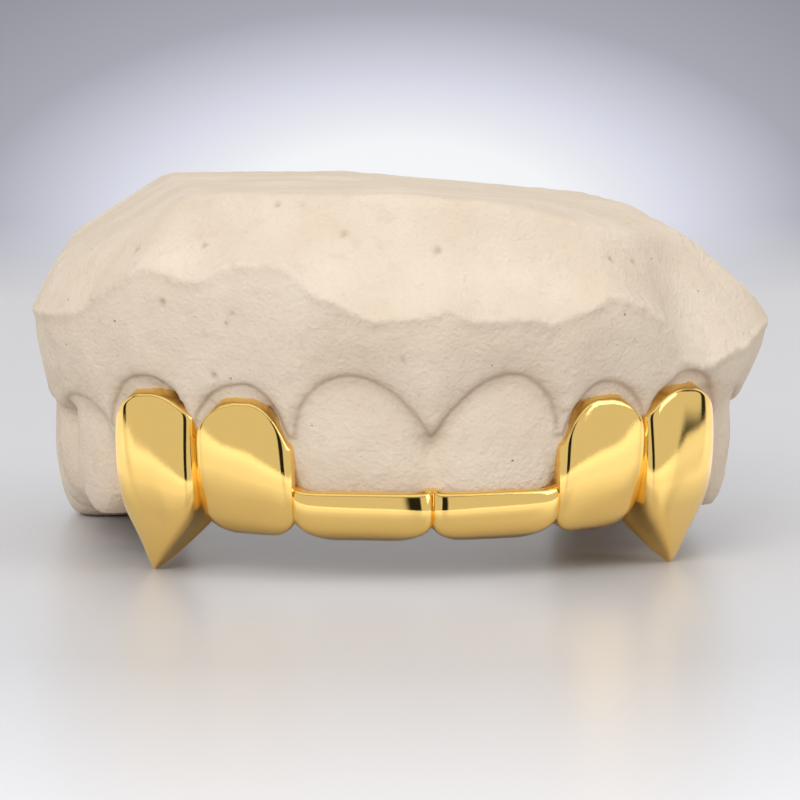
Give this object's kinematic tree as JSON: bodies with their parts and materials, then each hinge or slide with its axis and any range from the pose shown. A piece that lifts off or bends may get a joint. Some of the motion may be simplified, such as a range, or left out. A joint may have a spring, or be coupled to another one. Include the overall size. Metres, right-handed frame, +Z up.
{
  "type": "fang grill on a dental cast",
  "caption": "Gold grill of hollow tooth caps with two pointed fang caps, worn on the trimmed stone cast of an upper jaw that stands on its teeth.",
  "frame": {"origin": "middle of the bounding box's underside, on the surface that the fang tips and the last molars stand on", "axes": "+Z up out of the trimmed top of the cast, -Y out of the front teeth, +X to the right seen from the front"},
  "size_m": [0.0512, 0.0496, 0.0252],
  "materials": {
    "gold": "mirror polished gold alloy",
    "dental_stone": "matt beige dental stone with small pits"
  },
  "bodies": {
    "root": {"fang_grill": "gold", "dental_cast": "dental_stone"}
  },
  "joints": []
}
